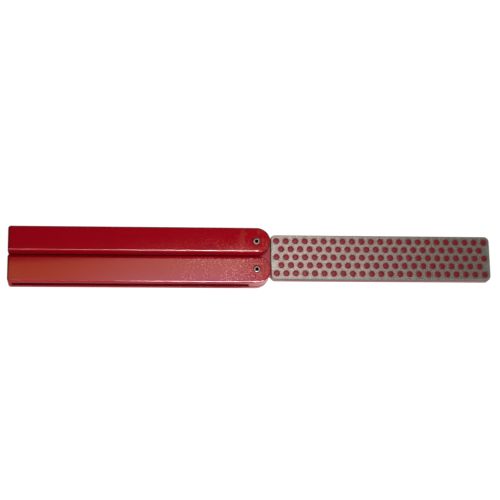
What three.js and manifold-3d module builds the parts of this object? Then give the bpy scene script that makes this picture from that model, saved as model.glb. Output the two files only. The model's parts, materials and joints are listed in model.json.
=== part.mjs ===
// Folding diamond hone: a perforated abrasive plate on a moulded plastic body,
// with two channel-shaped handles that pivot on hollow pins and fold over it.
//
// Millimetres, +Z up. The handles are modelled swung fully open, back to back,
// running away along -X, and the hone runs along +X with its abrasive face up.
// The origin is under the middle of the open tool, on the plane of the handles'
// undersides. Inside the parts x is measured from the line of the two pivots.
import * as THREE from 'three';
import { mergeVertices } from 'three/addons/utils/BufferGeometryUtils.js';
import Module from 'manifold-3d';

const wasm = await Module();
wasm.setup();

// ---- driving dimensions -------------------------------------------------
const PIVOT_Y = 7.1;               // each pivot axis stands this far from the centre line
const RUNNING_GAP = 0.2;           // hone to cheek, each side
const OVERCUT = 1;                 // how far a cutting tool runs past the face it cuts

const HANDLE = {
  thickness: 12.7,                 // across both cheeks
  halfWidth: 6.95,                 // also the radius of the rounded pivot end
  reach: 122,                      // pivot axis to far end
  slot: 5.5,                       // opening between the cheeks
  web: 2.2,                        // wall along the spine
  endWall: 2.0,                    // wall that closes the far end
  webStart: 7,                     // the spine wall starts this far behind the pivot
  spineRadius: 2.05,               // long edges along the spine
  mouthRadius: 0.65,               // long edges along the open side
  cornerRadius: 1.4,               // plan corners at the far end
};

const HONE = {
  tangHalfWidth: 6.85,             // tang lobe radius about each pivot
  tangBack: 4,                     // tang reaches this far behind the pivots
  tangCorner: 1,
  neckHalfWidth: 9.5,              // bridge between the tang and the blade
  rebate: 1.2,                     // depth of the step that the plate's rim drops into
};

const PERFORATION = {
  pitch: 4.7625,                   // 3/16 inch centres, 60 degree stagger
  holeRadius: 1.5,
  pegRadius: 1.42,
  longRow: 23,                     // pegs in rows 1, 3 and 5; rows 2 and 4 hold one fewer
  rows: 5,
  sides: 8,
  pegSink: 0.06,                   // peg tops sit this far below the plate's face
};

const PLATE = {
  width: 22.84,
  start: 7.05,                     // pivot line to the near end of the plate
  tip: 118,                        // pivot line to the far end of the plate
  sheet: 0.8,                      // thickness of the sheet and of its turned-down rim
  cornerRadius: 2.6,
  edgeRadius: 0.5,
};

const PIN = {
  outerRadius: 1.5,
  innerRadius: 0.9,
  inset: 0.45,                     // each end sits this far below the cheek's face
  chamfer: 0.25,
  sides: 32,
  tangBoreRadius: 1.58,            // running fit in the tang
  cheekBoreRadius: 1.52,           // tight fit in the cheeks
  sinkRadius: 1.9,                 // shallow counterbore around each pin end
  sinkDepth: 0.5,
};

// ---- dimensions that follow --------------------------------------------
const slotLow = (HANDLE.thickness - HANDLE.slot) / 2;
const slotHigh = slotLow + HANDLE.slot;
const honeLow = slotLow + RUNNING_GAP;
const honeHigh = slotHigh - RUNNING_GAP;
const rowPitch = PERFORATION.pitch * Math.sin(Math.PI / 3);
const rowLength = (PERFORATION.longRow - 1) * PERFORATION.pitch;
const firstPeg = (PLATE.start + PLATE.tip - rowLength) / 2;
const spineY = PIVOT_Y - HANDLE.halfWidth;
const mouthY = PIVOT_Y + HANDLE.halfWidth;

// ---- helpers -------------------------------------------------------------
function toSolid(geometry) {
  geometry.deleteAttribute('normal');
  geometry.deleteAttribute('uv');
  const merged = mergeVertices(geometry);
  return new wasm.Manifold(new wasm.Mesh({
    numProp: 3,
    vertProperties: new Float32Array(merged.attributes.position.array),
    triVerts: new Uint32Array(merged.index.array),
  }));
}

function toMesh(name, solid, material) {
  const result = solid.getMesh();
  const geometry = new THREE.BufferGeometry();
  geometry.setAttribute('position', new THREE.BufferAttribute(result.vertProperties, 3));
  geometry.setIndex(new THREE.BufferAttribute(result.triVerts, 1));
  geometry.computeVertexNormals();
  const mesh = new THREE.Mesh(geometry, material);
  mesh.name = name;
  return mesh;
}

// A rounded rectangle, with its own radius at each corner: low-low, high-low, high-high, low-high.
function roundedRectangle(x0, y0, x1, y1, [r00, r10, r11, r01]) {
  const shape = new THREE.Shape();
  shape.moveTo(x0 + r00, y0);
  shape.lineTo(x1 - r10, y0);
  shape.absarc(x1 - r10, y0 + r10, r10, -Math.PI / 2, 0);
  shape.lineTo(x1, y1 - r11);
  shape.absarc(x1 - r11, y1 - r11, r11, 0, Math.PI / 2);
  shape.lineTo(x0 + r01, y1);
  shape.absarc(x0 + r01, y1 - r01, r01, Math.PI / 2, Math.PI);
  shape.lineTo(x0, y0 + r00);
  shape.absarc(x0 + r00, y0 + r00, r00, Math.PI, 1.5 * Math.PI);
  return shape;
}

// A plan outline made into a prism between two heights.
function prism(shape, z0, z1, curveSegments) {
  const geometry = new THREE.ExtrudeGeometry(shape, { depth: z1 - z0, bevelEnabled: false, curveSegments });
  geometry.translate(0, 0, z0);
  return toSolid(geometry);
}

function box(x0, x1, y0, y1, z0, z1) {
  const geometry = new THREE.BoxGeometry(x1 - x0, y1 - y0, z1 - z0);
  geometry.translate((x0 + x1) / 2, (y0 + y1) / 2, (z0 + z1) / 2);
  return toSolid(geometry);
}

// An upright round bar about (x, y), used for pegs and to cut holes.
function bar(x, y, radius, z0, z1, sides) {
  const geometry = new THREE.CylinderGeometry(radius, radius, z1 - z0, sides);
  geometry.rotateX(Math.PI / 2);
  geometry.translate(x, y, (z0 + z1) / 2);
  return toSolid(geometry);
}

// Centres of the staggered perforation.
function perforationCentres() {
  const centres = [];
  for (let row = 0; row < PERFORATION.rows; row += 1) {
    const shortRow = row % 2;
    const y = (row - (PERFORATION.rows - 1) / 2) * rowPitch;
    for (let i = 0; i < PERFORATION.longRow - shortRow; i += 1) {
      centres.push([firstPeg + (i + shortRow / 2) * PERFORATION.pitch, y]);
    }
  }
  return centres;
}

function perforationBars(radius, z0, z1) {
  const bars = perforationCentres().map(([x, y]) => bar(x, y, radius, z0, z1, PERFORATION.sides));
  return wasm.Manifold.union(bars);
}

// ---- handle ----------------------------------------------------------------
// Section across the handle: rounded along the spine, nearly square along the mouth.
function handleBar() {
  const { thickness, reach, halfWidth, spineRadius, mouthRadius } = HANDLE;
  const section = roundedRectangle(
    spineY, 0, mouthY, thickness, [spineRadius, mouthRadius, mouthRadius, spineRadius]);
  const geometry = new THREE.ExtrudeGeometry(
    section, { depth: reach + halfWidth, bevelEnabled: false, curveSegments: 4 });
  // The section is drawn in (y, z) and pushed along x.
  geometry.applyMatrix4(new THREE.Matrix4().set(
    0, 0, 1, -reach,
    1, 0, 0, 0,
    0, 1, 0, 0,
    0, 0, 0, 1));
  return toSolid(geometry);
}

// Plan outline: a half round about the pivot, straight sides, eased far corners.
function handlePlan() {
  const { halfWidth, reach, cornerRadius } = HANDLE;
  return roundedRectangle(
    -reach, spineY, halfWidth, mouthY, [cornerRadius, halfWidth, halfWidth, cornerRadius]);
}

function handleSlot() {
  const { reach, endWall, web, webStart, halfWidth } = HANDLE;
  const farSide = mouthY + OVERCUT;
  const channel = box(-reach + endWall, -webStart + OVERCUT, spineY + web, farSide, slotLow, slotHigh);
  const forkGap = box(-webStart, halfWidth + OVERCUT, spineY - OVERCUT, farSide, slotLow, slotHigh);
  return channel.add(forkGap);
}

function pinSeat() {
  const { thickness } = HANDLE;
  const bore = bar(0, PIVOT_Y, PIN.cheekBoreRadius, -OVERCUT, thickness + OVERCUT, PIN.sides);
  const sinkFloor = thickness - PIN.sinkDepth;
  const lowSink = bar(0, PIVOT_Y, PIN.sinkRadius, -OVERCUT, PIN.sinkDepth, PIN.sides);
  const highSink = bar(0, PIVOT_Y, PIN.sinkRadius, sinkFloor, thickness + OVERCUT, PIN.sides);
  return bore.add(lowSink).add(highSink);
}

function handleSolid() {
  const plan = prism(handlePlan(), -OVERCUT, HANDLE.thickness + OVERCUT, 10);
  return handleBar().intersect(plan).subtract(handleSlot()).subtract(pinSeat());
}

// ---- hone body -----------------------------------------------------------
// Half rounds about the pivots on the blade side, a square back behind them.
function tangPlan() {
  const { tangHalfWidth, tangBack, tangCorner } = HONE;
  const reachY = PIVOT_Y + tangHalfWidth;
  return roundedRectangle(
    -tangBack, -reachY, tangHalfWidth, reachY, [tangCorner, tangHalfWidth, tangHalfWidth, tangCorner]);
}

function bladePlan(inset) {
  const r = PLATE.cornerRadius - inset;
  return roundedRectangle(
    PLATE.start + inset, -PLATE.width / 2 + inset, PLATE.tip - inset, PLATE.width / 2 - inset, [r, r, r, r]);
}

function honeBody() {
  const rebateTop = honeHigh - HONE.rebate;
  const padTop = honeHigh - PLATE.sheet;
  const { neckHalfWidth } = HONE;
  const tang = prism(tangPlan(), honeLow, honeHigh, 10);
  const neck = box(0, PLATE.start, -neckHalfWidth, neckHalfWidth, honeLow, honeHigh);
  const rootEnd = PLATE.start + PLATE.cornerRadius;
  const underRim = box(0, rootEnd, -neckHalfWidth, neckHalfWidth, honeLow, rebateTop);
  const blade = prism(bladePlan(0), honeLow, rebateTop, 6);
  const pad = prism(bladePlan(PLATE.sheet), honeLow, padTop, 6);
  const pegs = perforationBars(PERFORATION.pegRadius, honeLow, honeHigh - PERFORATION.pegSink);
  let body = wasm.Manifold.union([tang, neck, underRim, blade, pad, pegs]);
  for (const side of [-1, 1]) {
    body = body.subtract(
      bar(0, side * PIVOT_Y, PIN.tangBoreRadius, honeLow - OVERCUT, honeHigh + OVERCUT, PIN.sides));
  }
  return body;
}

// ---- abrasive plate --------------------------------------------------------
// A shallow tray turned upside down: perforated sheet on top, rim turned down all round.
function diamondPlate() {
  const { edgeRadius, sheet } = PLATE;
  const rimLow = honeHigh - HONE.rebate;
  const padTop = honeHigh - sheet;
  const geometry = new THREE.ExtrudeGeometry(bladePlan(edgeRadius), {
    depth: HONE.rebate,
    bevelThickness: edgeRadius,
    bevelSize: edgeRadius,
    bevelSegments: 3,
    curveSegments: 6,
  });
  geometry.translate(0, 0, honeHigh - HONE.rebate - edgeRadius);
  const blank = toSolid(geometry);
  const trim = box(0, PLATE.tip + OVERCUT, -PLATE.width, PLATE.width, 0, rimLow);
  const tray = prism(bladePlan(sheet), rimLow - OVERCUT, padTop, 6);
  const holes = perforationBars(PERFORATION.holeRadius, 0, HANDLE.thickness);
  return blank.subtract(trim).subtract(tray).subtract(holes);
}

// ---- pivot pins --------------------------------------------------------------
// A short steel tube with eased ends.
function pinGeometry() {
  const { outerRadius: r, innerRadius: bore, inset, chamfer: c, sides } = PIN;
  const z0 = inset;
  const z1 = HANDLE.thickness - inset;
  const profile = [[bore, z0], [r - c, z0], [r, z0 + c], [r, z1 - c], [r - c, z1], [bore, z1], [bore, z0]];
  const geometry = new THREE.LatheGeometry(profile.map(([x, y]) => new THREE.Vector2(x, y)), sides);
  geometry.rotateX(Math.PI / 2);
  return geometry;
}

// ---- assembly ----------------------------------------------------------------
const redPlastic = new THREE.MeshStandardMaterial({ color: 0x9c1420, roughness: 0.28, metalness: 0 });
const bodyPlastic = new THREE.MeshStandardMaterial({ color: 0x94202c, roughness: 0.4, metalness: 0 });
const abrasiveNickel = new THREE.MeshStandardMaterial({ color: 0xa89c8a, roughness: 0.55, metalness: 0.85 });
const pinSteel = new THREE.MeshStandardMaterial({ color: 0xcbb9ad, roughness: 0.3, metalness: 1 });

const group = new THREE.Group();
group.position.x = (HANDLE.reach - PLATE.tip) / 2;
group.add(toMesh('hone_body', honeBody(), bodyPlastic));
group.add(toMesh('diamond_plate', diamondPlate(), abrasiveNickel));

// Both handles are the same moulding: the second is the first turned over about X.
const handle = handleSolid();
for (const [side, turn, lift] of [['upper', 0, 0], ['lower', Math.PI, HANDLE.thickness]]) {
  const swing = new THREE.Group();
  swing.rotation.x = turn;
  swing.position.z = lift;
  const pin = new THREE.Mesh(pinGeometry(), pinSteel);
  pin.name = `${side}_pivot_pin`;
  pin.position.y = PIVOT_Y;
  swing.add(toMesh(`${side}_handle`, handle, redPlastic), pin);
  group.add(swing);
}

export default group;
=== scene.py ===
import json
import math

import bpy
from mathutils import Euler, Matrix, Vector


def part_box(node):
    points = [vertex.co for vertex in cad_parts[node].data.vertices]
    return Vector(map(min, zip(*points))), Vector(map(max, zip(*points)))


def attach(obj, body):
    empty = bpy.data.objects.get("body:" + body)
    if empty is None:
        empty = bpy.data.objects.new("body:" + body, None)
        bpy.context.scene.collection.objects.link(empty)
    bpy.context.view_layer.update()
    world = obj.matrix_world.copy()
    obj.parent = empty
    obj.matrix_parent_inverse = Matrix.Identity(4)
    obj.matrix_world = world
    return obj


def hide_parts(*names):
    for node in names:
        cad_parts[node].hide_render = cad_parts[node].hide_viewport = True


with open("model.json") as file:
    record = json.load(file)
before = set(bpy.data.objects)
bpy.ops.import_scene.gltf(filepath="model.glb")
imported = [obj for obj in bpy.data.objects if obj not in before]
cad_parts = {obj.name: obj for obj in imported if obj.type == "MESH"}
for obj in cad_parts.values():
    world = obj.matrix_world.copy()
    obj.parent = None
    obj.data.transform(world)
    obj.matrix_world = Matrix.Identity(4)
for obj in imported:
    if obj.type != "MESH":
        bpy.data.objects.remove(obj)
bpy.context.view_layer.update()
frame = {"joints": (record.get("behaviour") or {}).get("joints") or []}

# ---- the frame's places, in metres ----
MM = 0.001
PIVOTS = {joint["child"]: Vector(joint["pos_m"]) for joint in frame["joints"]}
PIVOT_X, PIVOT_Y = PIVOTS["upper_grip"].xy
HANDLE_LOW, HANDLE_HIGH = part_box("upper_handle")
BODY_LOW, BODY_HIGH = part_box("hone_body")
PLATE_LOW, PLATE_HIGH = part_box("diamond_plate")
PIN_LOW, PIN_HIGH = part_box("upper_pivot_pin")

# ---- cutting and joining ----
SAME_POINT = 1e-7       # points this close are one point
ROUNDING = 1e-8         # what the cuts' arithmetic may add to a width
CLEAR = 0.01 * MM       # keeps the faces of joined solids out of one plane
OVERCUT = 1.0 * MM      # how far cuts and joins reach past a surface

# ---- handles: channel mouldings about their pivots ----
HANDLE_HALF = (HANDLE_HIGH.y - HANDLE_LOW.y) / 2 - ROUNDING
HANDLE_REACH = PIVOT_X - HANDLE_LOW.x
THICKNESS = HANDLE_HIGH.z
RUNNING_GAP = 0.2 * MM
SLOT_LOW = BODY_LOW.z - RUNNING_GAP
SLOT_HIGH = BODY_HIGH.z + RUNNING_GAP
SLOT_EDGE = 0.25 * MM
SPINE_Y = -HANDLE_HALF
SPINE_WALL = 2.2 * MM
SPINE_WALL_START = 7.0 * MM
END_WALL = 2.0 * MM
SPINE_RADIUS = 2.05 * MM
SPINE_EASE = 3.0 * MM                   # over this width the spine's radius becomes the rim's
SPINE_END = (0.5 * MM, 5.0 * MM)        # and over this length past the pivot
RIM_RADIUS = 0.65 * MM
FAR_CORNER = 1.4 * MM
EDGE_FLATNESS = 1.7
OUTLINE_SPAN = 1.5 * MM

# ---- pins and their seats ----
PIN_RADIUS = (PIN_HIGH.x - PIN_LOW.x) / 2
PIN_BORE = 0.9 * MM
PIN_LIP = 0.28 * MM
SINK_RADIUS = 1.9 * MM
SINK_DEPTH = 0.5 * MM
CHEEK_BORE = 1.51 * MM
TANG_BORE = 1.58 * MM

# ---- hone: tang, neck, core and plate ----
TANG_HALF = BODY_HIGH.y - PIVOT_Y
TANG_CORNER = 1.0 * MM
NECK_HALF = 9.5 * MM
NECK_STEP = 0.05 * MM
BODY_EDGE = 0.35 * MM
BLADE_CORNER = 2.6 * MM
CORE_INSET = 0.06 * MM
CORE_EDGE = 0.5 * MM
SHEET = 0.8 * MM
SHEET_EDGE = 0.78 * MM

# ---- the plate's staggered holes and the pegs in them ----
PITCH = 4.7625 * MM
ROW_PITCH = PITCH * math.sin(math.pi / 3)
ROWS = 5
LONG_ROW = 23
FIRST_PEG_X = (PLATE_LOW.x + PLATE_HIGH.x - (LONG_ROW - 1) * PITCH) / 2
HOLE_RADIUS = 1.5 * MM
HOLE_EDGE = 0.14 * MM
PEG_RADIUS = 1.47 * MM
PEG_SINK = 0.05 * MM
PEG_CROWN = 0.1 * MM

# ---- stage and camera ----
BLADE_START = PLATE_LOW.x - 0.5 * MM    # where the lamps change from the handles to the blade
FLOOR_HALF = 6.0
PANEL_HEIGHT = 0.60
BOX_ENDS = (-0.40, 0.09)
BOX_FRONT = 0.02
BOX_BACKS = (0.133, 0.160)
BOX_WARM = (2.3, 1.0, 0.37)
BOX_WHITE = (3.8, 2.9, 2.5)
BOX_ROSE = (3.7, 2.7, 4.3)
BOX_WARM_TO_WHITE = (-0.15, 0.07)
BOX_ROSE_EDGE = (0.129, 0.142)
BOX_OVER_PIVOTS = (0.040, 0.062)
BOX_OVER_BLADE = (0.072, 0.085)
BLADE_BOX_LOW = (0.095, 0.03)
BLADE_BOX_HIGH = (0.16, 0.26)
BLADE_BOX_COLOUR = (1.0, 0.85, 0.77, 1.0)
BLADE_BOX_FADE = (0.095, 0.122)
EDGE_LAMP_COLOUR = (1.0, 0.82, 0.88, 1.0)
WALL_RADIUS = 0.9
WALL_LEVELS = (0.03, 1.6)
WALL_SIDES = 24
WALL_COLOUR = (1.0, 0.93, 0.89, 1.0)
WALL_FADE = (0.02, 0.09)
SHAPING_COLOUR = (1.0, 0.90, 0.86)
FILL_HEIGHT = 0.06
FILL_SIZE = 0.10
BACKDROP_WHITE = (1.0, 0.99, 0.985)
BLACK = (0.0, 0.0, 0.0, 1.0)
CAMERA_PLACE = (-0.0698, -0.1975, 0.7633)
CAMERA_TURN = (0.26038, -0.08785, 0.00805)
CAMERA_LENS = 113.66
CAMERA_NEAR = 0.01


# ---- meshes from code ----
def make_object(name, points, faces):
    mesh = bpy.data.meshes.new(name)
    mesh.from_pydata([tuple(p) for p in points], [], faces)
    mesh.validate()
    piece = bpy.data.objects.new(name, mesh)
    bpy.context.scene.collection.objects.link(piece)
    return piece


def rounded_rectangle(x0, y0, x1, y1, radii, steps=8, span=None):
    """Outline points (x, y, nx, ny), anticlockwise from the low corner. A span divides the sides too."""
    signs = ((1, 1), (-1, 1), (-1, -1), (1, -1))
    corners = ((x0, y0), (x1, y0), (x1, y1), (x0, y1))
    raw = []
    for turn, ((cx, cy), (sx, sy), r) in enumerate(zip(corners, signs, radii)):
        for k in range(steps + 1):
            angle = math.pi * (1 + turn / 2 + k / steps / 2)
            nx, ny = math.cos(angle), math.sin(angle)
            raw.append((cx + r * (sx + nx), cy + r * (sy + ny), nx, ny))
    outline = []
    for here, after in zip(raw, raw[1:] + raw[:1]):
        gap = math.hypot(after[0] - here[0], after[1] - here[1])
        if gap < SAME_POINT:
            continue
        parts = max(1, round(gap / span)) if span else 1
        for k in range(parts):
            t = k / parts
            outline.append(tuple(h + (a - h) * t for h, a in zip(here, after)))
    return outline


def rounded_prism(name, outline, z0, z1, low_radius=0, high_radius=0, steps=6, flatness=1.0):
    """A closed solid from z0 to z1. Each edge's radius is a number or a function of the outline's point.
    A flatness of 1 rounds the edges, and 2 makes them flat chamfers."""
    def ring(radius_of, z_end, inward, angle):
        points = []
        for x, y, nx, ny in outline:
            r = radius_of(x, y) if callable(radius_of) else radius_of
            inset = r * (1 - math.sin(angle) ** flatness)
            rise = r * (1 - max(0.0, math.cos(angle)) ** flatness)
            points.append((x - nx * inset, y - ny * inset, z_end + inward * rise))
        return points

    quarter = math.pi / 2
    rings = []
    for k in range(steps + 1) if low_radius else [steps]:
        rings.append(ring(low_radius, z0, 1, quarter * k / steps))
    for k in range(steps, -1, -1) if high_radius else [steps]:
        rings.append(ring(high_radius, z1, -1, quarter * k / steps))
    n = len(outline)
    faces = [list(range(n - 1, -1, -1))]
    for level in range(len(rings) - 1):
        a = level * n
        for i in range(n):
            j = (i + 1) % n
            faces.append((a + i, a + j, a + n + j, a + n + i))
    faces.append([(len(rings) - 1) * n + i for i in range(n)])
    return make_object(name, [p for points in rings for p in points], faces)


def block(name, low, high):
    """A plain box between two corners, to cut or join with."""
    (x0, y0, z0), (x1, y1, z1) = low, high
    return rounded_prism(name, rounded_rectangle(x0, y0, x1, y1, (0, 0, 0, 0), steps=1), z0, z1)


def lathes(name, profile, centres, steps):
    """A profile of (radius, z) turned about each centre. It ends on the axis or closes on itself."""
    points, faces = [], []
    closed = profile[0] == profile[-1]
    rows = profile[:-1] if closed else profile
    for cx, cy in centres:
        ids = []
        for r, z in rows:
            if r == 0:
                ids.append([len(points)] * steps)
                points.append((cx, cy, z))
                continue
            ids.append(list(range(len(points), len(points) + steps)))
            for k in range(steps):
                angle = 2 * math.pi * k / steps
                points.append((cx + r * math.cos(angle), cy + r * math.sin(angle), z))
        pairs = list(zip(ids, ids[1:])) + ([(ids[-1], ids[0])] if closed else [])
        for low, high in pairs:
            for k in range(steps):
                j = (k + 1) % steps
                corners = []
                for v in (low[k], low[j], high[j], high[k]):
                    if v not in corners:
                        corners.append(v)
                faces.append(corners)
    return make_object(name, points, faces)


def arc(cx, cz, r, start, stop, steps):
    """Profile points on an arc, angles in degrees."""
    turns = [math.radians(start + (stop - start) * k / steps) for k in range(steps + 1)]
    return [(cx + r * math.cos(a), cz + r * math.sin(a)) for a in turns]


def combine(piece, other, operation):
    """Cuts, joins or intersects piece with other, and deletes other."""
    change = piece.modifiers.new("combine", "BOOLEAN")
    change.operation = operation
    change.object = other
    change.solver = "MANIFOLD"
    apply_modifiers(piece)
    bpy.data.objects.remove(other)


def apply_modifiers(piece):
    depsgraph = bpy.context.evaluated_depsgraph_get()
    mesh = bpy.data.meshes.new_from_object(piece.evaluated_get(depsgraph), depsgraph=depsgraph)
    piece.modifiers.clear()
    piece.data = mesh
    mesh.name = piece.name


def soften(piece, width, steps=3, sharpest=65):
    """Rounds the edges that a cut left sharper than an angle in degrees."""
    bevel = piece.modifiers.new("soften", "BEVEL")
    bevel.width = width
    bevel.segments = steps
    bevel.limit_method = "ANGLE"
    bevel.angle_limit = math.radians(sharpest)
    bevel.miter_outer = "MITER_ARC"
    bevel.use_clamp_overlap = True
    apply_modifiers(piece)


def shade(piece, crease=38):
    """Smooth shading, with edges sharper than crease degrees kept sharp and the flats kept flat."""
    piece.data.polygons.foreach_set("use_smooth", [True] * len(piece.data.polygons))
    piece.data.set_sharp_from_angle(angle=math.radians(crease))
    weighted = piece.modifiers.new("weighted", "WEIGHTED_NORMAL")
    weighted.keep_sharp = True
    weighted.weight = 80


def settle(piece, body, cad_piece):
    """Shades a finished piece and puts it on its body in place of the CAD's."""
    shade(piece)
    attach(piece, body)
    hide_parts(cad_piece)
    return piece


def smoothstep(low, high, value):
    t = min(1.0, max(0.0, (value - low) / (high - low)))
    return t * t * (3 - 2 * t)


# ---- handles ----
def handle_edge(x, y):
    """The radius of a handle's edges: wide along the spine, narrow round the pivot and along the rim."""
    near_spine = 1 - smoothstep(0, SPINE_EASE, y - SPINE_Y)
    before_round = 1 - smoothstep(*SPINE_END, x)
    return RIM_RADIUS + (SPINE_RADIUS - RIM_RADIUS) * near_spine * before_round


def handle_blank(name):
    """The solid moulding about its pivot, with its spine towards -Y and its far end squared off."""
    spare = SPINE_RADIUS + OVERCUT
    spare_corner = SPINE_RADIUS * 1.1
    outline = rounded_rectangle(
        -HANDLE_REACH - spare, -HANDLE_HALF, HANDLE_HALF, HANDLE_HALF,
        (spare_corner, HANDLE_HALF, HANDLE_HALF, spare_corner), steps=18, span=OUTLINE_SPAN)
    blank = rounded_prism(name, outline, 0, THICKNESS, handle_edge, handle_edge,
                          steps=9, flatness=EDGE_FLATNESS)
    plan = rounded_rectangle(
        -HANDLE_REACH, -HANDLE_HALF - CLEAR, HANDLE_HALF + OVERCUT, HANDLE_HALF + CLEAR,
        (FAR_CORNER, 0, 0, FAR_CORNER), steps=10)
    far_end = rounded_prism("far_end", plan, -CLEAR, THICKNESS + CLEAR, RIM_RADIUS, RIM_RADIUS,
                            steps=9, flatness=EDGE_FLATNESS)
    combine(blank, far_end, "INTERSECT")
    return blank


def cut_channel(blank):
    """The channel opens away from the spine. Round the pivot the spine's wall is cut away too."""
    far = HANDLE_HALF + OVERCUT
    channel_start = (-HANDLE_REACH + END_WALL, SPINE_Y + SPINE_WALL, SLOT_LOW)
    channel_end = (-SPINE_WALL_START + OVERCUT, far, SLOT_HIGH)
    mouth_start = (-SPINE_WALL_START, SPINE_Y - OVERCUT, SLOT_LOW)
    mouth_end = (far, far, SLOT_HIGH)
    combine(blank, block("channel", channel_start, channel_end), "DIFFERENCE")
    combine(blank, block("mouth", mouth_start, mouth_end), "DIFFERENCE")


def cut_pin_seat(blank):
    """The pin's hole through both cheeks, with a shallow counterbore in each outer face."""
    high_sink = THICKNESS - SINK_DEPTH
    past = THICKNESS + OVERCUT
    seat = [(0, -OVERCUT), (SINK_RADIUS, -OVERCUT), (SINK_RADIUS, SINK_DEPTH), (CHEEK_BORE, SINK_DEPTH),
            (CHEEK_BORE, high_sink), (SINK_RADIUS, high_sink), (SINK_RADIUS, past), (0, past)]
    combine(blank, lathes("seat", seat, [(0, 0)], 48), "DIFFERENCE")


def handle_shell(side, mirror):
    """A handle in its place. mirror is 1 for the one on the +Y side and -1 for the other."""
    shell = handle_blank(side + "_handle_shell")
    cut_channel(shell)
    cut_pin_seat(shell)
    soften(shell, SLOT_EDGE)
    for vertex in shell.data.vertices:
        x, y, z = vertex.co
        vertex.co = (PIVOT_X + x, mirror * (PIVOT_Y + y), z)
    if mirror < 0:
        shell.data.flip_normals()
    return settle(shell, side + "_grip", side + "_handle")


def pivot_pin(side, mirror):
    """A drawn steel tube with rolled lips."""
    outer = PIN_RADIUS - PIN_LIP
    inner = PIN_BORE + PIN_LIP
    low = PIN_LOW.z + PIN_LIP
    high = PIN_HIGH.z - PIN_LIP
    profile = []
    for turn, (r, z) in enumerate(((outer, low), (outer, high), (inner, high), (inner, low))):
        profile += arc(r, z, PIN_LIP, 90 * turn - 90, 90 * turn, 5)
    profile.append(profile[0])
    pin = lathes(side + "_pin_tube", profile, [(PIVOT_X, mirror * PIVOT_Y)], 48)
    return settle(pin, side + "_grip", side + "_pivot_pin")


# ---- hone ----
def peg_centres():
    """Rows along the blade, every second one a peg shorter and half a pitch on."""
    centres = []
    for row in range(ROWS):
        short = row % 2
        y = (row - (ROWS - 1) / 2) * ROW_PITCH
        for i in range(LONG_ROW - short):
            centres.append((FIRST_PEG_X + (i + short / 2) * PITCH, y))
    return centres


def peg_profile(foot):
    """A straight peg from its foot up, with a low crown."""
    top = PLATE_HIGH.z - PEG_SINK
    crown = ((1.0, 2.0), (0.97, 1.0), (0.88, 0.5), (0.7, 0.2), (0.4, 0.0))
    side = [(PEG_RADIUS * width, top - PEG_CROWN * drop) for width, drop in crown]
    return [(0, foot), (PEG_RADIUS, foot), *side, (0, top)]


def blade_outline(inset):
    r = BLADE_CORNER - inset
    return rounded_rectangle(PLATE_LOW.x + inset, PLATE_LOW.y + inset, PLATE_HIGH.x - inset,
                             PLATE_HIGH.y - inset, (r, r, r, r))


def tang():
    """A plate with two lobes round the pivots."""
    half = PIVOT_Y + TANG_HALF
    outline = rounded_rectangle(BODY_LOW.x, -half, PIVOT_X + TANG_HALF, half,
                                (TANG_CORNER, TANG_HALF, TANG_HALF, TANG_CORNER), steps=16)
    return rounded_prism("hone_moulding", outline, BODY_LOW.z, BODY_HIGH.z, BODY_EDGE, BODY_EDGE)


def hone_moulding():
    """Tang, neck and blade core, moulded in one with the pegs that fill the plate's holes."""
    body = tang()
    neck = block("neck", (PIVOT_X, -NECK_HALF, BODY_LOW.z),
                 (PLATE_LOW.x - 2 * CLEAR, NECK_HALF, BODY_HIGH.z - NECK_STEP))
    core = rounded_prism("core", blade_outline(CORE_INSET), BODY_LOW.z + CLEAR, PLATE_LOW.z, CORE_EDGE)
    root = block("root", (PIVOT_X + OVERCUT, -NECK_HALF, BODY_LOW.z + 2 * CLEAR),
                 (PLATE_LOW.x + BLADE_CORNER, NECK_HALF, PLATE_LOW.z - 2 * CLEAR))
    pad_top = PLATE_HIGH.z - SHEET - 2 * CLEAR
    pad = rounded_prism("pad", blade_outline(SHEET + 3 * CLEAR), PLATE_LOW.z - OVERCUT, pad_top)
    pegs = lathes("pegs", peg_profile(pad_top - OVERCUT / 2), peg_centres(), 28)
    for part in (neck, core, root, pad, pegs):
        combine(body, part, "UNION")
    bore = [(0, 0), (TANG_BORE, 0), (TANG_BORE, THICKNESS), (0, THICKNESS)]
    pivots = [(PIVOT_X, -PIVOT_Y), (PIVOT_X, PIVOT_Y)]
    combine(body, lathes("bores", bore, pivots, 48), "DIFFERENCE")
    return settle(body, "hone", "hone_body")


def abrasive_plate():
    """Perforated sheet with a rolled rim, its holes eased at the face."""
    top = PLATE_HIGH.z
    plate = rounded_prism("abrasive_plate", blade_outline(0), PLATE_LOW.z, top, 0, SHEET_EDGE)
    pocket = rounded_prism("pocket", blade_outline(SHEET), PLATE_LOW.z - OVERCUT, top - SHEET)
    combine(plate, pocket, "DIFFERENCE")
    mouth = HOLE_RADIUS + HOLE_EDGE
    hole = [(0, PLATE_LOW.z), (HOLE_RADIUS, PLATE_LOW.z)]
    hole += arc(mouth, top - HOLE_EDGE, -HOLE_EDGE, 0, -90, 4)
    hole += [(mouth, top + OVERCUT), (0, top + OVERCUT)]
    combine(plate, lathes("holes", hole, peg_centres(), 32), "DIFFERENCE")
    return settle(plate, "hone", "diamond_plate")


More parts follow.
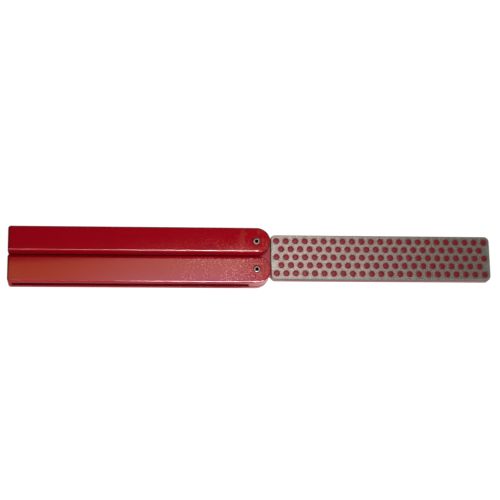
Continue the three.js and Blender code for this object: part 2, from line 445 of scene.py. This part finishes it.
# ---- materials ----
class Nodes:
    """A node tree, with a short call for each kind of node used here."""

    MIX_SHARE, MIX_LOW, MIX_HIGH, MIX_COLOUR = 0, 6, 7, 2

    def __init__(self, tree):
        self.tree = tree
        self.place = self.node("ShaderNodeTexCoord").outputs["Object"]

    def node(self, kind, settings=None, **inputs):
        made = self.tree.nodes.new(kind)
        for key, value in (settings or {}).items():
            setattr(made, key, value)
        for key, value in inputs.items():
            self.connect(made.inputs[key.replace("_", " ")], value)
        return made

    def connect(self, socket, value):
        if isinstance(value, bpy.types.NodeSocket):
            self.tree.links.new(value, socket)
        else:
            socket.default_value = value

    def math(self, operation, *values):
        made = self.node("ShaderNodeMath", {"operation": operation})
        for socket, value in zip(made.inputs, values):
            self.connect(socket, value)
        return made.outputs["Value"]

    def product(self, result, *others):
        for other in others:
            result = self.math("MULTIPLY", result, other)
        return result

    def length(self, along, across):
        squares = self.math("ADD", self.product(along, along), self.product(across, across))
        return self.math("SQRT", squares)

    def axis(self, name, vector=None):
        return self.node("ShaderNodeSeparateXYZ", Vector=vector or self.place).outputs[name]

    def light_path(self, name):
        return self.node("ShaderNodeLightPath").outputs[name]

    def stretch(self, scale, turn=0.0):
        """Object coordinates, turned about Z and scaled in each direction."""
        mapped = self.node("ShaderNodeMapping", Vector=self.place, Scale=scale, Rotation=(0, 0, turn))
        return mapped.outputs["Vector"]

    def noise(self, per_metre, detail=3.0, rough=0.55, vector=None):
        made = self.node("ShaderNodeTexNoise", Vector=vector or self.place,
                         Scale=per_metre, Detail=detail, Roughness=rough)
        return made.outputs["Fac"]

    def cells(self, per_metre, output="Distance"):
        made = self.node("ShaderNodeTexVoronoi", Vector=self.place, Scale=per_metre)
        return made.outputs[output]

    def band(self, value, low, high, to_low=0.0, to_high=1.0):
        """Goes smoothly from to_low to to_high as the value goes from low to high."""
        made = self.node("ShaderNodeMapRange", {"interpolation_type": "SMOOTHSTEP"}, Value=value,
                         From_Min=low, From_Max=high, To_Min=to_low, To_Max=to_high)
        return made.outputs["Result"]

    def blend(self, share, low, high):
        """Mixes two colours, each a socket or red, green and blue."""
        made = self.node("ShaderNodeMix", {"data_type": "RGBA"})
        self.connect(made.inputs[self.MIX_SHARE], share)
        for place, colour in ((self.MIX_LOW, low), (self.MIX_HIGH, high)):
            is_socket = isinstance(colour, bpy.types.NodeSocket)
            self.connect(made.inputs[place], colour if is_socket else (*colour, 1.0))
        return made.outputs[self.MIX_COLOUR]

    def bump(self, height, depth, under=None):
        made = self.node("ShaderNodeBump", Height=height, Distance=depth)
        if under is not None:
            self.connect(made.inputs["Normal"], under)
        return made.outputs["Normal"]

    def crevice(self, reach):
        """1 in the open, falling to 0 in a tight corner."""
        made = self.node("ShaderNodeAmbientOcclusion", {"samples": 8}, Distance=reach)
        return made.outputs["AO"]


class Shader(Nodes):
    """A new material with a Principled surface."""

    def __init__(self, name):
        self.material = bpy.data.materials.new(name)
        self.material.use_nodes = True
        super().__init__(self.material.node_tree)
        self.surface = self.tree.nodes["Principled BSDF"]

    def set(self, **inputs):
        for key, value in inputs.items():
            self.connect(self.surface.inputs[key.replace("_", " ")], value)


def pivot_distance(s):
    """Distance from the nearer pivot's axis."""
    along = s.math("SUBTRACT", s.axis("X"), PIVOT_X)
    across = s.math("SUBTRACT", s.math("ABSOLUTE", s.axis("Y")), PIVOT_Y)
    return s.length(along, across)


def from_midline(s):
    """Distance from the line that the handle's outline runs round: its long midline, ending at the pivot."""
    along = s.math("MAXIMUM", s.math("SUBTRACT", s.axis("X"), PIVOT_X), 0.0)
    across = s.math("SUBTRACT", s.math("ABSOLUTE", s.axis("Y")), PIVOT_Y)
    return s.length(along, across)


def from_middle_level(s):
    """Distance from the level halfway up the tool."""
    return s.math("ABSOLUTE", s.math("SUBTRACT", s.axis("Z"), THICKNESS / 2))


def inside_channel(s):
    """1 on the faces that look into the channel."""
    y = s.math("ABSOLUTE", s.axis("Y"))
    in_slot = s.math("LESS_THAN", from_middle_level(s), (SLOT_HIGH - SLOT_LOW) / 2 + SLOT_EDGE)
    off_spine = s.math("GREATER_THAN", y, SPINE_WALL - 0.1 * MM)
    in_mouth = s.math("LESS_THAN", y, PIVOT_Y + HANDLE_HALF - 0.3 * MM)
    off_end = s.math("GREATER_THAN", s.axis("X"), HANDLE_LOW.x + END_WALL - 0.1 * MM)
    return s.product(in_slot, off_spine, in_mouth, off_end)


def worn_patches(s, on_lower, on_flat):
    """Cloudy patches of wear on the flat faces, from partway along the handles up to the pivots."""
    start_on_upper = PIVOT_X - 75 * MM
    later_on_lower = 25 * MM
    full_from = PIVOT_X - 15 * MM
    start = s.math("ADD", start_on_upper, s.product(on_lower, later_on_lower))
    towards_pivot = s.band(s.axis("X"), start, full_from)
    off_outer_side = s.band(s.axis("Y"), 3 * MM, 11 * MM, 1.0, 0.1)
    clouds = s.band(s.noise(140, 3), 0.36, 0.54)
    return s.product(towards_pivot, off_outer_side, on_flat, clouds)


def smeared(s, red, on_face):
    """Slanting paler smears on the faces round the pivots."""
    near_pivot = s.band(pivot_distance(s), 3 * MM, 14 * MM, 0.8, 0.0)
    streaks = s.band(s.noise(1, 4, 0.6, s.stretch((330, 120, 200), 0.9)), 0.50, 0.62)
    return s.blend(s.product(streaks, near_pivot, on_face), red, (0.44, 0.035, 0.030))


def painted_edge_shade(s, red, on_lower, on_face, on_rim):
    """Painted shade: dark along the lower handle's spine where the handles meet, round the faces' rims and
    at the far ends.
    """
    by_spine = s.band(s.axis("Y"), -2.5 * MM, -1.5 * MM)
    far_half = s.band(s.axis("X"), PIVOT_X - 75 * MM, PIVOT_X - 30 * MM, 0.5, 0.0)
    # painted shade in the valley between the handles, along the lower handle's spine
    red = s.blend(s.product(on_lower, by_spine, far_half), red, (0.10, 0.0004, 0.004))
    rim_share = s.band(on_lower, 0.0, 1.0, 0.85, 0.3)
    end_share = s.band(s.axis("X"), HANDLE_LOW.x + 0.2 * MM, HANDLE_LOW.x + 1.6 * MM, 0.8, 0.0)
    # painted shade round the faces' rims and at the far ends
    shade_share = s.math("MAXIMUM", s.product(on_rim, rim_share), s.product(on_face, end_share))
    return s.blend(shade_share, red, (0.08, 0.0004, 0.004))


def handle_plastic():
    """Glossy dark red moulding. Towards the pivots its faces have fine pale specks, dull pits and smears.
    Painted shade darkens its creases, channel, pin seats, rims, far ends and the lower handle's spine.
    """
    s = Shader("handle_plastic")
    on_lower = s.band(s.axis("Y"), -1 * MM, 0, 1.0, 0.0)
    on_face = s.band(from_middle_level(s), THICKNESS / 2 - 0.9 * MM, THICKNESS / 2 - 0.5 * MM)
    by_outline = s.band(from_midline(s), HANDLE_HALF - 0.9 * MM, HANDLE_HALF - 0.3 * MM)
    on_rim = s.product(on_face, by_outline)
    patches = worn_patches(s, on_lower, s.math("SUBTRACT", on_face, on_rim))
    fine = s.noise(1250, 5, 0.62)
    specks = s.product(s.band(fine, 0.54, 0.60), patches)
    pits = s.product(s.band(fine, 0.38, 0.47, 1.0, 0.0), patches, on_lower)
    red = s.blend(s.noise(90, 3), (0.35, 0.0012, 0.009), (0.38, 0.0016, 0.012))
    red = smeared(s, red, on_face)
    pale = s.blend(on_lower, (0.56, 0.070, 0.085), (0.62, 0.19, 0.19))
    red = s.blend(specks, red, pale)
    # painted shade: darker red in creases and tight corners
    red = s.blend(s.band(s.crevice(2.5 * MM), 0.1, 0.8), (0.22, 0.0006, 0.005), red)
    red = painted_edge_shade(s, red, on_lower, on_face, on_rim)
    # painted shade: darker on the faces inside the channel
    red = s.blend(inside_channel(s), red, (0.20, 0.003, 0.010))
    # painted shade: near black in the pin's counterbore, round the pin
    off_seat = s.band(pivot_distance(s), SINK_RADIUS - 0.1 * MM, SINK_RADIUS + 0.1 * MM)
    red = s.blend(off_seat, (0.03, 0.008, 0.006), red)
    sheen = s.math("SUBTRACT", 0.5, s.product(pits, 0.3))
    orange_peel = s.bump(s.noise(500, 2), 0.003 * MM)
    s.set(Base_Color=red, Roughness=0.055, IOR=1.50, Specular_IOR_Level=sheen, Normal=orange_peel)
    return s.material


def peg_distance(s):
    """Distance from the nearest peg's axis, from the stagger's own geometry."""
    def nearest(value, low, high):
        return s.math("MINIMUM", s.math("MAXIMUM", s.math("ROUND", value), low), high)

    row = s.math("DIVIDE", s.axis("Y"), ROW_PITCH)
    nearest_row = nearest(row, (1 - ROWS) / 2, (ROWS - 1) / 2)
    short = s.math("ABSOLUTE", s.math("MODULO", nearest_row, 2.0))
    column = s.math("DIVIDE", s.math("SUBTRACT", s.axis("X"), FIRST_PEG_X), PITCH)
    column = s.math("SUBTRACT", column, s.product(short, 0.5))
    nearest_column = nearest(column, 0.0, s.math("SUBTRACT", LONG_ROW - 1.0, short))
    off_row = s.product(s.math("SUBTRACT", row, nearest_row), ROW_PITCH)
    off_column = s.product(s.math("SUBTRACT", column, nearest_column), PITCH)
    return s.length(off_row, off_column)


def body_plastic():
    """The hone's red moulding: darker on the blade than at the tang, with painted shade round each peg's
    edge and in its creases.
    """
    s = Shader("body_plastic")
    on_blade = s.band(s.axis("X"), PLATE_LOW.x - 0.3 * MM, PLATE_LOW.x)
    on_top = s.band(s.axis("Z"), PLATE_HIGH.z - 0.8 * MM, PLATE_HIGH.z - 0.3 * MM)
    mottle = s.noise(900, 4, 0.65)
    tang_red = s.blend(mottle, (0.34, 0.010, 0.022), (0.40, 0.022, 0.036))
    blade_red = s.blend(mottle, (0.20, 0.006, 0.014), (0.27, 0.016, 0.026))
    red = s.blend(on_blade, tang_red, blade_red)
    # painted shade: darker towards each peg's edge, where it meets its hole
    peg_edge_shade = s.product(s.band(peg_distance(s), 0.85 * MM, 1.4 * MM, 0.0, 0.75), on_blade, on_top)
    red = s.blend(peg_edge_shade, red, (0.10, 0.030, 0.025))
    # painted shade: darker in creases and tight corners
    red = s.blend(s.band(s.crevice(0.8 * MM), 0.1, 0.5), (0.12, 0.003, 0.006), red)
    rough = s.band(s.noise(500, 3), 0.3, 0.7, 0.18, 0.26)
    grain = s.bump(s.noise(2400, 3), 0.01 * MM)
    s.set(Base_Color=red, Roughness=rough, IOR=1.46, Normal=grain)
    return s.material


def diamond_nickel():
    """Nickel with diamond grit: cloudy, stained round the holes, and smooth down the rim. Painted shade
    darkens a thin ring at each hole and makes the rim darker and brown.
    """
    s = Shader("diamond_nickel")
    distance = peg_distance(s)
    clouds = s.band(s.noise(170, 4, 0.6), 0.35, 0.68)
    metal = s.blend(clouds, (0.355, 0.44, 0.365), (0.405, 0.49, 0.415))
    metal = s.blend(0.05, metal, s.cells(2600, "Color"))
    stain = s.band(distance, HOLE_RADIUS + 0.5 * MM, HOLE_RADIUS + 1.6 * MM, 0.9, 0.0)
    metal = s.blend(stain, metal, (0.43, 0.325, 0.29))
    # painted shade: a thin dark ring just round each hole
    hole_edge_shade = s.band(distance, HOLE_RADIUS + 0.05 * MM, HOLE_RADIUS + 0.35 * MM, 0.35, 0.0)
    metal = s.blend(hole_edge_shade, metal, (0.05, 0.025, 0.022))
    # painted shade: darker and browner down the rolled rim
    rim_shade = s.band(s.axis("Z"), PLATE_HIGH.z - 0.40 * MM, PLATE_HIGH.z - 0.08 * MM, 0.85, 0.0)
    metal = s.blend(rim_shade, metal, (0.20, 0.13, 0.12))
    rough = s.band(s.noise(1800, 3, 0.7), 0.3, 0.7, 0.24, 0.34)
    on_top = s.band(s.axis("Z"), PLATE_HIGH.z - 0.3 * MM, PLATE_HIGH.z - 0.05 * MM)
    grit = s.bump(s.product(s.cells(4200), on_top), 0.012 * MM)
    pitted_grit = s.bump(s.product(s.noise(2200, 4, 0.7), on_top), 0.010 * MM, grit)
    s.set(Base_Color=metal, Metallic=0.85, Roughness=rough, Normal=pitted_grit)
    return s.material


def pin_steel():
    """Bright drawn tube, with painted shade on its back side and near black painted shade down its bore."""
    s = Shader("pin_steel")
    steel = s.blend(s.noise(1500, 3), (0.90, 0.64, 0.60), (1.0, 0.76, 0.72))
    axis_y = s.product(s.math("SIGN", s.axis("Y")), PIVOT_Y)
    # painted shade: darker on the pin's back side, away from the front lamps
    shaded_far_side = s.band(s.math("SUBTRACT", s.axis("Y"), axis_y), -0.4 * MM, 1.0 * MM, 0.0, 0.4)
    steel = s.blend(shaded_far_side, steel, (0.42, 0.31, 0.28))
    # painted shade: near black down the bore
    off_bore = s.band(pivot_distance(s), PIN_BORE, PIN_BORE + 0.12 * MM)
    steel = s.blend(off_bore, (0.03, 0.010, 0.007), steel)
    dents = s.bump(s.noise(700, 2), 0.06 * MM)
    drawn = s.bump(s.noise(1, 2, 0.5, s.stretch((3000, 3000, 300))), 0.006 * MM, dents)
    s.set(Base_Color=steel, Metallic=s.product(off_bore, 0.35), Roughness=0.25,
          Specular_IOR_Level=s.product(off_bore, 0.5), Normal=drawn)
    return s.material


def dress(pieces, material):
    for piece in pieces:
        piece.data.materials.clear()
        piece.data.materials.append(material)


# ---- stage ----
def floor():
    """White to the camera, with painted shadow where it shows through narrow slits. In reflections it is
    dark by the handles, pale by the neck, grey by the blade.
    """
    half = FLOOR_HALF
    ground = make_object("floor", [(-half, -half, 0), (half, -half, 0), (half, half, 0), (-half, half, 0)],
                         [(0, 1, 2, 3)])
    s = Shader("floor_white")
    up_to_neck = s.band(s.axis("X"), PIVOT_X - 14 * MM, PIVOT_X + 6 * MM, 0.07, 0.75)
    along_blade = s.band(s.axis("X"), PIVOT_X + 8 * MM, PIVOT_X + 20 * MM, 1.0, 0.55)
    glow = s.band(s.light_path("Is Glossy Ray"), 0, 1, 0.18, s.product(up_to_neck, along_blade))
    # painted shadow: the floor seen by the camera darkens where it shows through narrow slits
    off_slit = s.band(s.crevice(3 * MM), 0.1, 0.4, 0.15, 1.0)
    glow = s.band(s.light_path("Is Camera Ray"), 0, 1, glow, off_slit)
    s.set(Base_Color=(0.15, 0.15, 0.15, 1), Roughness=0.9, Specular_IOR_Level=0.0,
          Emission_Color=(*BACKDROP_WHITE, 1), Emission_Strength=glow)
    dress([ground], s.material)


def mirrored_light(name, points, faces, glow_at):
    """A light that shows only in reflections. glow_at gives its colour and strength from its shader."""
    light = make_object(name, points, faces)
    light.visible_camera = False
    light.visible_diffuse = False
    s = Shader(name + "_glow")
    colour, strength = glow_at(s)
    s.set(Base_Color=BLACK, Specular_IOR_Level=0.0, Emission_Color=colour, Emission_Strength=strength)
    dress([light], s.material)


def soft_box():
    """A panel overhead. Its back edge is what separates the two handles' reflections."""
    def glow_at(s):
        along = s.band(s.axis("X"), *BOX_WARM_TO_WHITE)
        rose = s.product(along, s.band(s.axis("Y"), *BOX_ROSE_EDGE, 0.8, 0.0))
        colour = s.blend(rose, s.blend(along, BOX_WARM, BOX_WHITE), BOX_ROSE)
        over_pivots = s.band(s.axis("X"), *BOX_OVER_PIVOTS, 1.0, 0.36)
        over_blade = s.band(s.axis("X"), *BOX_OVER_BLADE, 0.0, 1.4)
        return colour, s.math("ADD", over_pivots, over_blade)

    left, right = BOX_ENDS
    left_back, right_back = BOX_BACKS
    plan = ((left, BOX_FRONT), (right, BOX_FRONT), (right, right_back), (left, left_back))
    mirrored_light("soft_box", [(*corner, PANEL_HEIGHT) for corner in plan], [(0, 1, 2, 3)], glow_at)


def blade_box():
    """A panel above the blade's near end, so that the plate falls off in brightness towards the tip."""
    def glow_at(s):
        return BLADE_BOX_COLOUR, s.band(s.axis("X"), *BLADE_BOX_FADE, 5.9, 0.6)

    (x0, y0), (x1, y1) = BLADE_BOX_LOW, BLADE_BOX_HIGH
    plan = ((x0, y0), (x1, y0), (x1, y1), (x0, y1))
    mirrored_light("blade_box", [(*corner, PANEL_HEIGHT) for corner in plan], [(0, 1, 2, 3)], glow_at)


def seen_from(s, axis):
    """Where the ray that reached this lamp came from: the mirroring surface's own X, Y or Z."""
    geometry = s.node("ShaderNodeNewGeometry").outputs
    here = s.axis(axis, geometry["Position"])
    back = s.axis(axis, geometry["Incoming"])
    return s.math("ADD", here, s.product(back, s.light_path("Ray Length")))


def edge_lamp(name, low, high, ends, ramp, strengths, reach):
    """A long thin lamp in front that draws a line of light along the handles' edges. low and high are its
    long edges (y, z), and ends are their ends in x. Its strength goes from the first value to the second
    over the ramp in x, and only what lies within its reach in y mirrors it."""
    def glow_at(s):
        x = seen_from(s, "X")
        y = seen_from(s, "Y")
        on_handle = s.math("LESS_THAN", x, BLADE_START)
        after_low = s.math("GREATER_THAN", y, reach[0])
        before_high = s.math("LESS_THAN", y, reach[1])
        first_bounce = s.math("LESS_THAN", s.light_path("Ray Depth"), 1.5)
        strength = s.band(x, *ramp, *strengths)
        return EDGE_LAMP_COLOUR, s.product(strength, on_handle, after_low, before_high, first_bounce)

    left, right = ends
    points = [(left, *low), (right, *low), (right, *high), (left, *high)]
    mirrored_light(name, points, [(0, 1, 2, 3)], glow_at)


def pale_wall():
    """A round wall, bright as the blade mirrors it and dim as the rest does. It gives the plate's rolled rim
    a pale line and the side views their sheen."""
    def glow_at(s):
        x = seen_from(s, "X")
        y = s.math("ABSOLUTE", seen_from(s, "Y"))
        z = seen_from(s, "Z")
        on_blade = s.product(s.math("GREATER_THAN", x, BLADE_START),
                             s.math("LESS_THAN", y, PLATE_HIGH.y + 0.1 * MM),
                             s.math("LESS_THAN", z, PLATE_HIGH.z + 0.1 * MM))
        on_top = s.math("GREATER_THAN", z, THICKNESS - 0.02 * MM)
        dim = s.math("MAXIMUM", s.product(on_top, 0.4), 0.08)
        in_front = s.band(s.axis("Y"), -0.3, 0.3, 1.0, 0.6)
        higher = s.band(s.axis("Z"), 0.1, 0.6, 0.5, 1.0)
        bright = s.product(s.band(x, *WALL_FADE, 1.5, 0.6), in_front, higher)
        return WALL_COLOUR, s.band(on_blade, 0, 1, dim, bright)

    n = WALL_SIDES
    turns = [2 * math.pi * k / n for k in range(n)]
    points = [(WALL_RADIUS * math.cos(a), WALL_RADIUS * math.sin(a), z) for z in WALL_LEVELS for a in turns]
    faces = [(k, (k + 1) % n, n + (k + 1) % n, n + k) for k in range(n)]
    mirrored_light("pale_wall", points, faces, glow_at)


def shaping_light(name, place, size, watts):
    """A square light aimed at the origin, which shows in no reflection."""
    light = bpy.data.lights.new(name, "AREA")
    light.size = size
    light.energy = watts
    light.color = SHAPING_COLOUR
    holder = bpy.data.objects.new(name, light)
    bpy.context.scene.collection.objects.link(holder)
    holder.location = place
    holder.rotation_euler = (-holder.location).to_track_quat("-Z", "Y").to_euler()
    holder.visible_camera = False
    holder.visible_glossy = False


def shaping_lights():
    """One close above, and one low down on each side."""
    shaping_light("key", (0.01, -0.05, 0.32), 0.15, 0.74)
    fills = (("front_fill", 0.0, -0.60, 2.9), ("back_fill", 0.0, 0.60, 1.6),
             ("left_fill", -0.70, 0.0, 1.6), ("right_fill", 0.70, 0.0, 1.6))
    for name, x, y, watts in fills:
        shaping_light(name, (x, y, FILL_HEIGHT), FILL_SIZE, watts)


def surroundings():
    """White to the camera. In reflections it is a dark room, paler towards the horizon."""
    world = bpy.data.worlds.new("studio")
    bpy.context.scene.world = world
    world.use_nodes = True
    n = Nodes(world.node_tree)
    up = n.axis("Z", n.node("ShaderNodeTexCoord").outputs["Generated"])
    room = n.blend(n.band(up, 0.0, 0.45), (0.08, 0.08, 0.08), (0.01, 0.01, 0.01))
    colour = n.blend(n.light_path("Is Camera Ray"), room, BACKDROP_WHITE)
    n.connect(world.node_tree.nodes["Background"].inputs["Color"], colour)


def camera():
    lens = bpy.data.cameras.new("camera")
    lens.lens = CAMERA_LENS
    lens.clip_start = CAMERA_NEAR
    holder = bpy.data.objects.new("camera", lens)
    bpy.context.scene.collection.objects.link(holder)
    holder.location = CAMERA_PLACE
    holder.rotation_mode = "ZYX"
    holder.rotation_euler = Euler(CAMERA_TURN, "ZYX")
    bpy.context.scene.camera = holder


# ---- the scene ----
handles = [handle_shell("upper", 1), handle_shell("lower", -1)]
pins = [pivot_pin("upper", 1), pivot_pin("lower", -1)]
moulding = hone_moulding()
plate = abrasive_plate()
dress(handles, handle_plastic())
dress(pins, pin_steel())
dress([moulding], body_plastic())
dress([plate], diamond_nickel())
floor()
soft_box()
blade_box()
edge_lamp("spine_lamp", low=(-0.44, 0.37), high=(-0.41, 0.40), ends=(-0.40, 0.16),
          ramp=(-0.09, 0.0), strengths=(17, 130), reach=(-16 * MM, 3 * MM))
edge_lamp("rim_lamp", low=(-0.60, 0.18), high=(-0.60, 0.24), ends=(-0.40, 0.60),
          ramp=(-0.075, -0.03), strengths=(4, 60), reach=(-16 * MM, -12 * MM))
pale_wall()
shaping_lights()
surroundings()
camera()
bpy.context.scene.view_settings.view_transform = "Standard"
